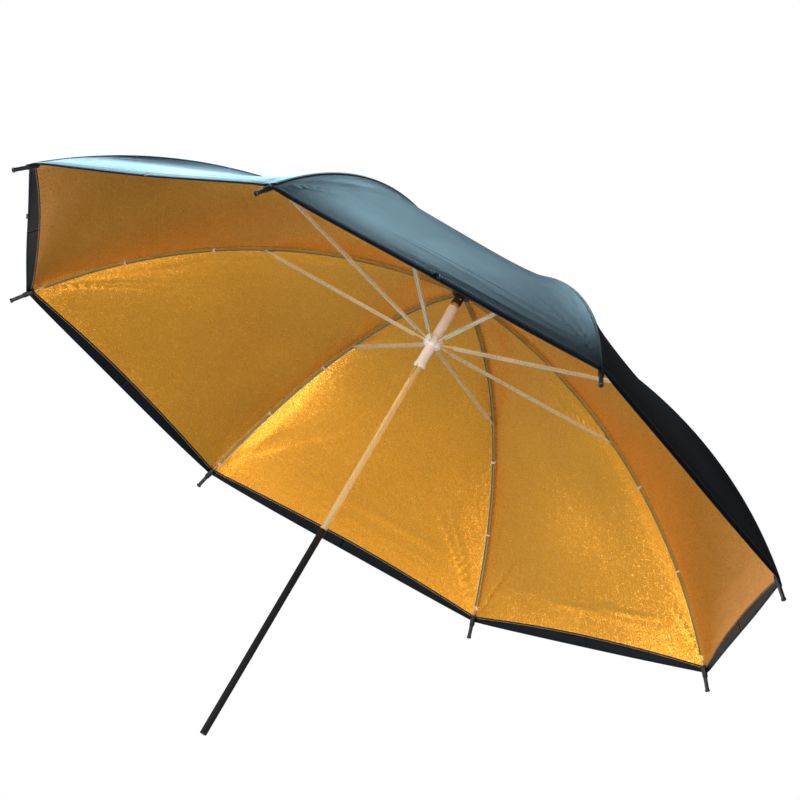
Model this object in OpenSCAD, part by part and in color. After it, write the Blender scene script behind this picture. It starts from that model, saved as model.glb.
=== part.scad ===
// Studio umbrella reflector, shown open. The origin is the centre of the shaft's free end and
// +Z runs along the shaft to the crown. Eight ribs carry the fabric; rib 1 lies along +X and
// the ribs are numbered clockwise seen from the crown.

/* [Canopy] */
// Distance from the shaft's axis to a corner of the fabric
canopy_r = 500; // [480:1:520]
// Height of the rim's corners above the shaft's free end
rim_z = 410; // [400:1:420]
// Radius of the curve that each rib follows
rib_arc_r = 610; // [600:1:640]
// Distance of that curve's centre from the shaft's axis
rib_arc_x = 53; // [45:1:60]
// Thickness of the fabric
fabric_t = 0.6; // [0.4:0.1:0.8]

/* [Ribs and stretchers] */
// Width of a rib's channel
rib_w = 3.6; // [3.4:0.1:4]
// Depth of a rib's channel
rib_h = 3; // [2.8:0.1:3.2]
// Width of a stretcher's channel
stretcher_w = 4.2; // [4:0.1:5]
// Wall of the rib and stretcher channels
channel_t = 0.7; // [0.5:0.1:0.8]
// Distance from the shaft's axis to the joint between a stretcher and its rib
joint_r = 252.5; // [245:0.5:260]
// Diameter of a rib tip
tip_d = 5; // [4.6:0.1:5.4]

/* [Shaft] */
// Outer diameter of the shaft
shaft_d = 8; // [7.8:0.1:8.2]
// Bore of the shaft tube
shaft_bore = 6.4; // [6.2:0.1:6.6]
// Length of the black lower part that a light's umbrella socket clamps
grip_len = 270; // [240:1:290]

/* [Runner] */
// Height of the stretcher pins in the open runner
eye_z = 530.5; // [526:0.5:535]
// Distance of the stretcher pins from the shaft's axis
eye_r = 10; // [9.8:0.1:10.2]
// Diameter of the runner's collar
collar_d = 21.5; // [21:0.5:22.5]
// Diameter of the runner's tube
runner_d = 12; // [11.8:0.1:12.4]

/* [Hidden] */
RIBS = 8;
STEP_DEG = 360 / RIBS;
HALF_DEG = STEP_DEG / 2;

// The rib curve: depth is measured inward from the fabric's middle surface.
rib_arc_z = rim_z - sqrt(pow(rib_arc_r, 2) - pow(canopy_r - rib_arc_x, 2));
function curve_z(r, depth = 0) = rib_arc_z + sqrt(pow(rib_arc_r - depth, 2) - pow(r - rib_arc_x, 2));
function curve_deg(r, depth = 0) = asin((r - rib_arc_x) / (rib_arc_r - depth));

// Depths below the fabric
rib_top = 1.3;
pivot_depth = 3.5;
tip_depth = 3.4;

// Crown
crown_eye_r = 8;
crown_eye_z = curve_z(crown_eye_r, pivot_depth);
crown_r = 11;
crown_hub_r = 5.8;
crown_top = crown_eye_z + 2.6;
crown_under = crown_eye_z - 3.5;
crown_bottom = crown_eye_z - 15;
crown_pin_z = crown_eye_z - 9;
crown_pin_r = 0.9;
rib_pin_r = 0.7;
rib_pin_len = 5;
slot_w = 2.4;
slot_in = 5.5;

// Rib ends and the riveted joint between the two halves of a rib
eye_tab_r = 1.9;
crown_tab_w = 1.8;
crown_tab_len = 5.2;
joint_gap = 4;
fork_start = 2.2;
fork_r = 2.2;
plate_in = 1.95;
plate_out = 2.6;
plate_len = 11;
plate_bridge = 5.5;
rivet_r = 1;
rivet_head_r = 1.7;
rivet_head_t = 0.6;
pin_clear = 0.05;

// Stretchers
joint_z = curve_z(joint_r, pivot_depth);
stretcher_len = sqrt(pow(joint_r - eye_r, 2) + pow(joint_z - eye_z, 2));
stretcher_deg = atan2(joint_z - eye_z, joint_r - eye_r);
stretcher_tab_w = 1.4;
stretcher_tab_len = 16;
stretcher_up = 0.5;
stretcher_down = 2.7;
stretcher_pin_r = 0.8;

// Tips
tip_in = 12;
tip_out = 19.8;
tip_flare = 0.4;
tip_hollow_r = 1.4;
tip_hollow_deep = 2.5;
tang_r = 1.2;
tang_len = 18;

// Runner, open
runner_bottom = eye_z - 34.5;
runner_top = eye_z + 50;
runner_bore_r = shaft_d / 2 + 0.06;
runner_foot_r = 7;
collar_half = 5.5;
collar_slot_in = 7.3;
catch_groove_r = 5.35;
catch_groove_w = 3;

// Catch that stands out of the shaft just below the open runner
catch_deg = HALF_DEG;
catch_top = runner_bottom - 2.6;
catch_len = 16;
catch_w = 2.2;
catch_out = 5.2;
catch_slot_clear = 0.3;

// Shaft
shaft_r = shaft_d / 2;
bore_r = shaft_bore / 2;
shaft_top = crown_top;
spigot_len = 22;
spigot_bore_r = 2.5;
fit_clear = 0.02;
neck_len = 2;
neck_depth = 0.3;
plug_len = 14;
washer_r = 13;
washer_z = curve_z(washer_r) + fabric_t / 2 + 0.5;
washer_t = 1.2;
cap_r = 9;
cap_h = 9;
stem_r = bore_r - fit_clear;

// Canopy
canopy_in = 9;
split_gap = 0.3;
seam_gap = 0.4;
INNER_RINGS = 9;
OUTER_RINGS = 11;

STEEL = [0.78, 0.78, 0.76];
RIB_GREY = [0.52, 0.5, 0.42];
BLACK = [0.06, 0.06, 0.07];
WHITE = [0.93, 0.93, 0.91];
GOLD = [0.85, 0.58, 0.2];

module at_rib(i) rotate([0, 0, -STEP_DEG * (i - 1)]) children();

// Local frame on the rib curve: +X runs outward along the rib and +Z stands out of the fabric.
module on_curve(r, depth)
    translate([r, 0, curve_z(r, depth)]) rotate([0, curve_deg(r, depth), 0]) children();

// A pin, bore or plate across the rib, centred on its plane
module across(r, w) rotate([90, 0, 0]) cylinder(r = r, h = w, center = true, $fn = 48);

// Channel section, open toward the inside of the canopy; x is the distance from the curve's centre
module channel_section(w, h, t) {
    x = rib_arc_r - rib_top;
    polygon([[x, -w / 2], [x, w / 2], [x - h, w / 2], [x - h, w / 2 - t],
             [x - t, w / 2 - t], [x - t, t - w / 2], [x - h, t - w / 2], [x - h, -w / 2]]);
}

// Rib channel between two distances from the shaft
module rib_channel(from_r, to_r) {
    a0 = curve_deg(from_r);
    a1 = curve_deg(to_r);
    translate([rib_arc_x, 0, rib_arc_z]) rotate([90, 0, 0]) rotate([0, 0, 90 - a1])
        rotate_extrude(angle = a1 - a0, $fn = 360) channel_section(rib_w, rib_h, channel_t);
}

// Short pins, one across each rib slot of the crown
module rib_pin_set(r, w)
    for (i = [1:RIBS]) at_rib(i) translate([crown_eye_r, 0, crown_eye_z]) across(r, w);

// Black lower length of the shaft, whose outside is the standard socket size
module shaft_grip() color(BLACK) difference() {
    cylinder(r = shaft_r, h = grip_len, $fn = 96);
    translate([0, 0, -1]) cylinder(r = bore_r, h = grip_len + 2, $fn = 96);
}

// Bright upper length of the shaft, with a shallow neck and the spigot that joins it to the lower one
module shaft_tube() color(STEEL) difference() {
    union() {
        translate([0, 0, grip_len]) cylinder(r = shaft_r - neck_depth, h = neck_len, $fn = 96);
        translate([0, 0, grip_len + neck_len])
            cylinder(r = shaft_r, h = shaft_top - grip_len - neck_len, $fn = 96);
        translate([0, 0, grip_len - spigot_len])
            cylinder(r = bore_r - fit_clear, h = spigot_len + 4, $fn = 96);
    }
    translate([0, 0, grip_len + 4]) cylinder(r = bore_r, h = shaft_top, $fn = 96);
    translate([0, 0, grip_len - spigot_len - 1])
        cylinder(r = spigot_bore_r, h = spigot_len + 6, $fn = 96);
    rotate([0, 0, catch_deg])
        translate([0, -catch_w / 2 - catch_slot_clear, catch_top - catch_len - catch_slot_clear])
            cube([shaft_r + 1, catch_w + 2 * catch_slot_clear, catch_len + 2 * catch_slot_clear]);
    translate([0, 0, crown_pin_z]) across(crown_pin_r + fit_clear, 2 * shaft_r + 2);
}

module shaft_plug() color(BLACK) rotate_extrude($fn = 96)
    polygon([[0, 0], [stem_r - 0.8, 0], [stem_r, 0.8], [stem_r, plug_len], [0, plug_len]]);

module crown() color(BLACK) difference() {
    union() {
        translate([0, 0, crown_under]) cylinder(r = crown_r, h = crown_top - crown_under, $fn = 96);
        translate([0, 0, crown_bottom]) cylinder(r = crown_hub_r, h = crown_top - crown_bottom, $fn = 96);
    }
    translate([0, 0, crown_bottom - 1]) cylinder(r = shaft_r + fit_clear, h = 30, $fn = 96);
    for (i = [1:RIBS]) at_rib(i) translate([slot_in, -slot_w / 2, crown_under - 1])
        cube([crown_r, slot_w, crown_top - crown_under + 2]);
    rib_pin_set(rib_pin_r + fit_clear, rib_pin_len + 0.2);
    translate([0, 0, crown_pin_z]) across(crown_pin_r + fit_clear, 2 * crown_r);
}

module rib_pins() color(STEEL) rib_pin_set(rib_pin_r, rib_pin_len);

module crown_pin() color(STEEL) translate([0, 0, crown_pin_z]) across(crown_pin_r, 2 * crown_hub_r + 0.4);

module canopy_washer() color(BLACK) translate([0, 0, washer_z]) difference() {
    cylinder(r = washer_r, h = washer_t, $fn = 96);
    translate([0, 0, -1]) cylinder(r = bore_r, h = washer_t + 2, $fn = 96);
}

module top_cap() color(BLACK) {
    base = washer_z + washer_t;
    dome_r = (pow(cap_r, 2) + pow(cap_h / 2, 2)) / cap_h;
    translate([0, 0, base]) cylinder(r = cap_r, h = cap_h / 2, $fn = 96);
    intersection() {
        translate([0, 0, base + cap_h - dome_r]) sphere(r = dome_r, $fn = 96);
        translate([0, 0, base + cap_h / 2]) cylinder(r = cap_r, h = cap_h, $fn = 96);
    }
    translate([0, 0, crown_bottom + 8]) cylinder(r = stem_r, h = base - crown_bottom - 8, $fn = 96);
}

module catch() color(STEEL) rotate([0, 0, catch_deg]) translate([0, catch_w / 2, 0]) rotate([90, 0, 0])
    linear_extrude(catch_w) polygon([
        [0.6, catch_top - catch_len], [3, catch_top - catch_len], [shaft_r - 0.3, catch_top - catch_len + 1],
        [catch_out, catch_top - 2], [catch_out, catch_top], [0.6, catch_top]]);

// Bowed leaf between the catch and the far wall of the tube
module catch_spring() color(STEEL) rotate([0, 0, catch_deg])
    translate([-15.5, 0, catch_top - catch_len / 2]) rotate([90, 0, 0]) rotate([0, 0, -26])
        rotate_extrude(angle = 52, $fn = 180) translate([15.6, -catch_w / 2]) square([0.4, catch_w]);

module runner() color(WHITE) difference() {
    rotate_extrude($fn = 96) polygon([
        [runner_bore_r, runner_bottom], [runner_foot_r - 0.4, runner_bottom],
        [runner_foot_r, runner_bottom + 0.6], [runner_foot_r, runner_bottom + 3],
        [runner_d / 2, runner_bottom + 7], [runner_d / 2, eye_z - collar_half],
        [collar_d / 2 - 1.2, eye_z - collar_half], [collar_d / 2, eye_z - collar_half + 1.2],
        [collar_d / 2, eye_z + collar_half - 1.2], [collar_d / 2 - 1.2, eye_z + collar_half],
        [runner_d / 2, eye_z + collar_half], [runner_d / 2, runner_top - 0.6],
        [runner_d / 2 - 0.6, runner_top], [runner_bore_r, runner_top]]);
    for (i = [1:RIBS]) at_rib(i) translate([collar_slot_in, -slot_w / 2, eye_z - collar_half - 1])
        cube([collar_d, slot_w, 2 * collar_half + 2]);
    rotate([0, 0, catch_deg]) translate([0, -catch_groove_w / 2, runner_bottom - 1])
        cube([catch_groove_r, catch_groove_w, runner_top - runner_bottom + 2]);
    rotate([0, 0, catch_deg + 90]) translate([0, 0, runner_bottom - 1.2]) across(3.4, 4 * runner_foot_r);
}

// Inner half of a rib, with its eye on a pin of the crown and the riveted plates of the joint
module rib_inner(i) color(RIB_GREY) at_rib(i) {
    difference() {
        union() {
            rib_channel(crown_eye_r + crown_tab_len, joint_r - joint_gap);
            on_curve(crown_eye_r, pivot_depth) {
                across(eye_tab_r, crown_tab_w);
                translate([0, -crown_tab_w / 2, -1.2]) cube([crown_tab_len + 5, crown_tab_w, 3]);
            }
        }
        on_curve(crown_eye_r, pivot_depth) across(rib_pin_r + pin_clear, 2 * crown_tab_w);
    }
    on_curve(joint_r, pivot_depth) {
        for (s = [-1, 1]) {
            translate([0, s * (plate_in + plate_out) / 2, 0]) across(2.4, plate_out - plate_in);
            translate([-plate_len / 2, s * (plate_in + plate_out) / 2, 0.1])
                cube([plate_len, plate_out - plate_in, 3.6], center = true);
            translate([-(plate_len + plate_bridge) / 2, s * (plate_out + 1.4) / 2, 0.6])
                cube([plate_len - plate_bridge, plate_out - 1.4, 2.6], center = true);
            translate([0, s * (plate_out + rivet_head_t / 2), 0]) across(rivet_head_r, rivet_head_t);
        }
        across(rivet_r, 2 * plate_out);
    }
}

// Outer half of a rib, with the fork that turns on the joint's rivet and the tang of the tip
module rib_outer(i) color(RIB_GREY) at_rib(i) {
    difference() {
        union() {
            rib_channel(joint_r + fork_start, canopy_r - tip_in - 2);
            on_curve(joint_r, pivot_depth) for (s = [-1, 1])
                translate([0, s * (rib_w - channel_t) / 2, 0]) {
                    across(fork_r, channel_t);
                    translate([3, 0, 0.3]) cube([6, channel_t, 3.8], center = true);
                }
        }
        on_curve(joint_r, pivot_depth) across(rivet_r + pin_clear, 2 * rib_w);
    }
    on_curve(canopy_r, tip_depth) translate([-tang_len, 0, 0]) rotate([0, 90, 0])
        cylinder(r = tang_r, h = tang_len + 6, $fn = 48);
}

module rib_tip(i) color(BLACK) at_rib(i) on_curve(canopy_r, tip_depth) rotate([0, 90, 0]) difference() {
    rotate_extrude($fn = 64) polygon([
        [0, -tip_in], [tip_d / 2 - 0.7, -tip_in], [tip_d / 2, -tip_in + 2],
        [tip_d / 2 - 0.2, tip_out - 3], [tip_d / 2 + tip_flare, tip_out - 2],
        [tip_d / 2 + tip_flare, tip_out - 0.6], [tip_d / 2 - 0.3, tip_out], [0, tip_out]]);
    translate([0, 0, -tip_in - 1]) cylinder(r = tang_r + 0.04, h = tip_in + 8, $fn = 48);
    translate([0, 0, 9]) across(0.7, 2 * tip_d);
    translate([0, 0, tip_out - tip_hollow_deep])
        cylinder(r = tip_hollow_r, h = tip_hollow_deep + 1, $fn = 48);
}

// Straight channel with flattened ends: the pin that sits in the runner is at x = 0
module stretcher(i) color(STEEL) at_rib(i)
    translate([eye_r, 0, eye_z]) rotate([0, -stretcher_deg, 0]) {
        w = stretcher_w / 2;
        across(stretcher_pin_r, slot_w - 0.4);
        difference() {
            union() {
                for (x = [0, stretcher_len]) translate([x, 0, 0]) across(1.7, stretcher_tab_w);
                for (x = [0, stretcher_len - stretcher_tab_len - 2])
                    translate([x, -stretcher_tab_w / 2, -1.4])
                        cube([stretcher_tab_len + 2, stretcher_tab_w, 1.4 + stretcher_up]);
                translate([stretcher_tab_len, 0, 0]) rotate([90, 0, 90])
                    linear_extrude(stretcher_len - 2 * stretcher_tab_len) polygon([
                        [-w, -stretcher_down], [-w, stretcher_up], [w, stretcher_up], [w, -stretcher_down],
                        [w - channel_t, -stretcher_down], [w - channel_t, stretcher_up - channel_t],
                        [channel_t - w, stretcher_up - channel_t], [channel_t - w, -stretcher_down]]);
            }
            translate([stretcher_len, 0, 0]) across(rivet_r + pin_clear, 2 * stretcher_w);
        }
    }

// Fabric belonging to one rib: flat from the rib to the middle of the gore on each side
function cloth_point(r, side, up) =
    let (a = curve_deg(r), t = max(0, r * sin(HALF_DEG) - seam_gap))
    [r - abs(side) * t * sin(HALF_DEG) + up * sin(a), side * t * cos(HALF_DEG), curve_z(r) + up * cos(a)];

module cloth(from_r, to_r, rings) {
    sides = [-1, 0, 1];
    count = 3 * (rings + 1);
    points = [for (up = [-1, 1]) for (k = [0:rings]) for (s = sides)
        cloth_point(from_r + (to_r - from_r) * k / rings, s, up * fabric_t / 2)];
    under = [for (k = [0:rings - 1]) for (j = [0, 1]) let (a = 3 * k + j)
        each [[a, a + 1, a + 4], [a, a + 4, a + 3]]];
    over = [for (f = under) [f[2] + count, f[1] + count, f[0] + count]];
    edge = concat([for (j = [0:2]) j], [for (k = [1:rings]) 3 * k + 2],
        [for (j = [1, 0]) 3 * rings + j], [for (k = [rings - 1:-1:1]) 3 * k]);
    n = len(edge);
    walls = [for (k = [0:n - 1]) let (a = edge[k], b = edge[(k + 1) % n])
        each [[a, a + count, b + count], [a, b + count, b]]];
    polyhedron(points, concat(under, over, walls));
}

module canopy_inner(i) color(GOLD) at_rib(i) cloth(canopy_in, joint_r - split_gap, INNER_RINGS);

module canopy_outer(i) color(GOLD) at_rib(i) cloth(joint_r + split_gap, canopy_r, OUTER_RINGS);

shaft_grip();
shaft_tube();
shaft_plug();
crown();
rib_pins();
crown_pin();
canopy_washer();
top_cap();
catch();
catch_spring();
runner();
for (i = [1:RIBS]) {
    rib_inner(i);
    rib_outer(i);
    rib_tip(i);
    stretcher(i);
    canopy_inner(i);
    canopy_outer(i);
}
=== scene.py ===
"""Studio umbrella reflector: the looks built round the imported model."""

import math

import bmesh
import bpy
import numpy as np
from mathutils import Matrix, Vector


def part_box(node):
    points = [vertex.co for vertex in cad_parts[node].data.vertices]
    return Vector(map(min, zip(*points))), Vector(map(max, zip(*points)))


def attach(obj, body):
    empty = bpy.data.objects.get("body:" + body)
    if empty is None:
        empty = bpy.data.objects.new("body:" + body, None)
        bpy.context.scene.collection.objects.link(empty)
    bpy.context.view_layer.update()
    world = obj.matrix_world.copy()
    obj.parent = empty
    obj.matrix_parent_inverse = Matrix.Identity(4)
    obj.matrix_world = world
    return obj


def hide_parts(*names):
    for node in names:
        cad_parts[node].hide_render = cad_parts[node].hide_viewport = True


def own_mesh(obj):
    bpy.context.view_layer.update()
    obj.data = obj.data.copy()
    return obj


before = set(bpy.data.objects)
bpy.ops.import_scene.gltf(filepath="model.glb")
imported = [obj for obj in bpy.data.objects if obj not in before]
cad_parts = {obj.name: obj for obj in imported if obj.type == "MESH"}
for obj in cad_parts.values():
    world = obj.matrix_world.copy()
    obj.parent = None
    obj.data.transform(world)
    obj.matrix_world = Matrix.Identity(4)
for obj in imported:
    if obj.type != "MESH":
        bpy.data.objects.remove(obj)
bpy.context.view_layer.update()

bl_info = {
    "name": "Umbrella reflector",
    "version": (1, 0, 0),
    "blender": (4, 5, 0),
    "location": "3D View > Sidebar > Umbrella",
    "description": "Builds the fabric, trim, finishes and studio of a photographic umbrella",
    "category": "Object",
}

RIBS = 8
STEP = 2 * math.pi / RIBS
HALF = STEP / 2
SLACK = (1.0, 1.05, 0.95, 1.0, 1.05, 1.0, 1.0, 1.4)

# Distance of the fabric's corners from the shaft, in metres
CORNER_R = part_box("canopy_outer_1")[1][0]
# Inputs of a colour Mix node: its two colours
MIX_A, MIX_B = 6, 7
TURN = 2 * math.pi
# Distance in which the cloth rounds over a rib
RIDGE = 0.0015
# Distance of the seam's stitches from the rib
SEAM_STITCH = 0.0034
FLOOR_REACH = 9.0
LIGHT_CENTRE = (0, 0, 0.45)
WARM = (1.0, 0.97, 0.90)
COOL = (0.50, 0.82, 1.0)
# Name, direction from the centre, distance, width, watts and colour of each light
LIGHTS = (
    ("key_light", (0.972, 0.075, -0.20), 2.6, 0.75, 28.0, (1.0, 0.97, 0.92)),
    ("front_light", (0.42, 0.84, -0.24), 3.0, 0.9, 44.0, (1.0, 0.98, 0.95)),
    ("low_light", (-0.30, 0.28, -0.91), 1.30, 0.6, 1.7, WARM),
    ("shaft_light", (0.10, -0.12, -0.99), 1.25, 0.28, 0.1, WARM),
    ("side_light", (0.46, -0.30, -0.84), 1.5, 0.45, 2.8, (1.0, 0.97, 0.93)),
    ("back_light", (0.12, -0.86, 0.48), 3.0, 1.6, 50.0, COOL),
    ("top_light", (0.0, -0.52, 0.85), 2.8, 1.1, 13.0, COOL),
)


class FabricSettings(bpy.types.PropertyGroup):
    """Sizes of the eight gores."""

    arc_radius: bpy.props.FloatProperty(
        name="Rib curve", description="Radius of the curve that each rib follows", default=0.610,
        unit="LENGTH"
    )
    arc_x: bpy.props.FloatProperty(
        name="Curve centre", description="Distance of that curve's centre from the shaft", default=0.053,
        unit="LENGTH"
    )
    rim_height: bpy.props.FloatProperty(
        name="Rim height", description="Height of the corners above the shaft's free end", default=0.410,
        unit="LENGTH"
    )
    joint_radius: bpy.props.FloatProperty(
        name="Joint radius", description="Where the two halves of a rib and its fabric meet", default=0.2525,
        unit="LENGTH"
    )
    crown_radius: bpy.props.FloatProperty(
        name="Crown hole", description="Radius of the fabric's hole under the washer", default=0.009,
        unit="LENGTH"
    )
    sag: bpy.props.FloatProperty(
        name="Sag", description="Depth of a gore between its ribs, as a share of half its width",
        default=0.072
    )
    rim_sag: bpy.props.FloatProperty(
        name="Sag at the hem", description="The same at the hem, which is drawn tight", default=0.003
    )
    rim_reach: bpy.props.FloatProperty(
        name="Reach of the hem", description="How far in from the hem the cloth is drawn tight",
        default=0.075,
        unit="LENGTH"
    )
    scallop: bpy.props.FloatProperty(
        name="Scallop", description="How far the rim is cut back at the middle of a gore", default=-0.001,
        unit="LENGTH"
    )
    thickness: bpy.props.FloatProperty(
        name="Thickness", description="Thickness of the two layers of cloth together", default=0.0005,
        unit="LENGTH"
    )
    seam_width: bpy.props.FloatProperty(
        name="Seam allowance", description="Width of the folded seam beside a rib", default=0.0046,
        unit="LENGTH"
    )
    hem_corner: bpy.props.FloatProperty(
        name="Hem at a corner", description="Width of the turned hem inside, at a corner", default=0.004,
        unit="LENGTH"
    )
    hem_middle: bpy.props.FloatProperty(
        name="Hem at the middle", description="Width of the turned hem inside, at the middle of a gore",
        default=0.010,
        unit="LENGTH"
    )
    hem_outside: bpy.props.FloatProperty(
        name="Hem outside", description="Width of the turned hem on the black side", default=0.009,
        unit="LENGTH"
    )


class ThreadSettings(bpy.types.PropertyGroup):
    """Sizes of the sewing."""

    pitch: bpy.props.FloatProperty(
        name="Stitch pitch", description="Distance from one stitch to the next", default=0.0032, unit="LENGTH"
    )
    length: bpy.props.FloatProperty(
        name="Stitch length", description="Length of one stitch", default=0.0024, unit="LENGTH"
    )
    radius: bpy.props.FloatProperty(
        name="Thread radius", description="Radius of the sewing thread", default=0.00024, unit="LENGTH"
    )
    tie_radius: bpy.props.FloatProperty(
        name="Tie place", description="Distance of the thread ties from the shaft", default=0.311,
        unit="LENGTH"
    )


class FinishSettings(bpy.types.PropertyGroup):
    """Colours of the finishes."""

    gold: bpy.props.FloatVectorProperty(
        name="Gold", description="Colour of the reflective inside",
        subtype="COLOR", default=(0.95, 0.38, 0.026)
    )
    gold_light: bpy.props.FloatVectorProperty(
        name="Pale gold", description="Colour of the gold's bright flecks",
        subtype="COLOR", default=(0.98, 0.66, 0.24)
    )
    nylon: bpy.props.FloatVectorProperty(
        name="Black nylon", description="Colour of the outside",
        subtype="COLOR", default=(0.004, 0.006, 0.009)
    )
    rib: bpy.props.FloatVectorProperty(
        name="Ribs", description="Colour of the ribs", subtype="COLOR", default=(0.46, 0.37, 0.15)
    )
    stretcher: bpy.props.FloatVectorProperty(
        name="Stretchers", description="Colour of the stretchers", subtype="COLOR", default=(0.84, 0.80, 0.64)
    )
    white: bpy.props.FloatVectorProperty(
        name="Runner", description="Colour of the runner", subtype="COLOR", default=(0.93, 0.91, 0.88)
    )
    black: bpy.props.FloatVectorProperty(
        name="Black plastic", description="Colour of tips, crown and cap",
        subtype="COLOR", default=(0.018, 0.018, 0.02)
    )


class StageSettings(bpy.types.PropertyGroup):
    """The studio."""

    azimuth: bpy.props.FloatProperty(
        name="Camera azimuth", description="Camera's direction round the shaft from rib 1",
        default=math.radians(71.30),
        subtype="ANGLE"
    )
    elevation: bpy.props.FloatProperty(
        name="Camera elevation", description="Camera's angle above the rim", default=math.radians(-19.68),
        subtype="ANGLE"
    )
    roll: bpy.props.FloatProperty(
        name="Camera roll", description="Lean of the shaft in the picture", default=math.radians(30.47),
        subtype="ANGLE"
    )
    distance: bpy.props.FloatProperty(
        name="Camera distance", description="From the middle of the rim", default=3.694, unit="LENGTH"
    )
    lens: bpy.props.FloatProperty(name="Lens", description="Focal length in millimetres", default=147.1)
    floor_height: bpy.props.FloatProperty(
        name="Floor", description="Height of the floor in the model's frame", default=-0.95, unit="LENGTH"
    )


# ---------------------------------------------------------------- shape of the canopy


def fabric():
    return bpy.context.scene.umbrella_fabric


def curve_height(r):
    """Height of the rib curve at a distance r from the shaft."""
    f = fabric()
    base = f.rim_height - math.sqrt(f.arc_radius**2 - (CORNER_R - f.arc_x) ** 2)
    return base + np.sqrt(f.arc_radius**2 - (r - f.arc_x) ** 2)


def rib_azimuth(i):
    return -STEP * (i - 1)


def edge_radius(c):
    """Where the cloth ends, for c from -1 on one rib to 1 on the next."""
    return CORNER_R - fabric().scallop * (1 - c * c)


def folds(gore, r, c):
    """Height of the small tension folds of one gore, zero on the ribs."""
    rng = np.random.default_rng(40 + gore)
    out = np.zeros(np.broadcast(r, c).shape)
    span = r * math.sin(HALF)
    from_rib = (1 - np.abs(c)) * span
    to_rim = edge_radius(c) - r
    hold = np.clip(from_rib / 0.02, 0, 1) ** 2
    # broad slackness
    for _ in range(6):
        kr, kc, phase = rng.uniform(8, 30), rng.uniform(1.5, 5), rng.uniform(0, 6.28)
        out += 0.00035 * np.sin(kr * r + kc * c + phase) * hold
    # drag lines beside the hem
    for _ in range(5):
        at, width = rng.uniform(0.012, 0.055), rng.uniform(0.0022, 0.004)
        middle, reach = rng.uniform(-0.35, 0.35), rng.uniform(0.3, 0.55)
        tilt = rng.uniform(-0.012, 0.012)
        out += 0.00035 * np.exp(-(((to_rim - at - tilt * c) / width) ** 2) - ((c - middle) / reach) ** 4)
    # creases that fan out from each rib joint and corner
    for side in (-1, 1):
        for origin, count, strength in ((fabric().joint_radius + 0.005, 5, 0.0006), (CORNER_R, 4, 0.0007)):
            along = origin - r
            across = (1 - side * c) * span
            far = np.sqrt(along**2 + across**2) + 1e-6
            angle = np.arctan2(across, along)
            for _ in range(count):
                a0, wide = rng.uniform(0.12, 0.75), rng.uniform(0.03, 0.06)
                if rng.random() < 0.35 and origin < CORNER_R:
                    a0 = math.pi - a0
                length = rng.uniform(0.05, 0.13)
                out += (
                    strength
                    * rng.uniform(0.5, 1)
                    * np.exp(-(((angle - a0) / wide) ** 2) - (far / length) ** 2)
                    * np.clip(far / 0.02, 0, 1)
                    * hold
                )
    return out


def gore_point(gore, r, c, lift=0.0):
    """Point on the cloth between rib gore (c = 1) and the next (c = -1), in the model's frame."""
    r, c = np.broadcast_arrays(np.asarray(r, float), np.asarray(c, float))
    f = fabric()
    half_width = r * math.sin(HALF)
    z = curve_height(r)
    slope = -(r - f.arc_x) / np.sqrt(f.arc_radius**2 - (r - f.arc_x) ** 2)
    normal = np.stack([-slope, np.zeros_like(r), np.full_like(r, math.cos(HALF))], -1)
    normal /= np.linalg.norm(normal, axis=-1, keepdims=True)
    tight = np.exp(-(((CORNER_R - r) / f.rim_reach) ** 2))
    share = SLACK[gore - 1] * (f.sag + (f.rim_sag - f.sag) * tight)
    depth = share * half_width * (0.45 * (1 - c * c) + 0.55 * (1 - np.abs(c) ** 7))
    base = np.stack([r * math.cos(HALF), c * half_width, z], -1)
    # the cloth rounds over the rib in place of a sharp ridge
    from_rib = (1 - np.abs(c)) * half_width
    drop = RIDGE * math.sin(HALF) * np.exp(-from_rib / RIDGE)
    base[..., 0] -= drop * math.cos(HALF)
    base[..., 1] -= np.sign(c) * drop * math.sin(HALF)
    point = base + normal * (lift - depth + folds(gore, r, c))[..., None]
    turn = rib_azimuth(gore) - HALF
    co, si = math.cos(turn), math.sin(turn)
    x = point[..., 0] * co - point[..., 1] * si
    y = point[..., 0] * si + point[..., 1] * co
    return np.stack([x, y, point[..., 2]], -1)


def gore_normal(gore, r, c):
    """Outward normal of the cloth there."""
    dr, dc = 0.0004, 0.0015
    along = gore_point(gore, r + dr, c) - gore_point(gore, r - dr, c)
    across = gore_point(gore, r, c + dc) - gore_point(gore, r, c - dc)
    n = np.cross(along, across)
    n /= np.linalg.norm(n, axis=-1, keepdims=True) + 1e-12
    return n * np.where(n[..., 2:] < 0, -1, 1)


def rib_seam_normal(rib, r):
    """Normal on the rib's own line, shared by the cloth on both sides."""
    left = gore_normal(rib, r, np.full_like(r, 0.995))
    right = gore_normal((rib - 2) % RIBS + 1, r, np.full_like(r, -0.995))
    n = left + right
    return n / np.linalg.norm(n, axis=-1, keepdims=True)


# ---------------------------------------------------------------- mesh helpers


def new_object(name, mesh, materials=()):
    obj = bpy.data.objects.new(name, mesh)
    bpy.context.scene.collection.objects.link(obj)
    for m in materials:
        mesh.materials.append(m)
    return obj


def mesh_from(name, points, faces, materials, indices=None, smooth=True):
    mesh = bpy.data.meshes.new(name)
    mesh.from_pydata([tuple(p) for p in points], [], [tuple(int(v) for v in f) for f in faces])
    obj = new_object(name, mesh, materials)
    if indices is not None:
        mesh.polygons.foreach_set("material_index", np.array(indices, np.int32))
    mesh.polygons.foreach_set("use_smooth", [smooth] * len(mesh.polygons))
    mesh.update()
    return obj


def grid_faces(rows, columns, start=0, flip=False):
    faces = []
    for i in range(rows - 1):
        for j in range(columns - 1):
            a = start + i * columns + j
            quad = (a, a + 1, a + columns + 1, a + columns)
            faces.append(quad[::-1] if flip else quad)
    return faces


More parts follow.
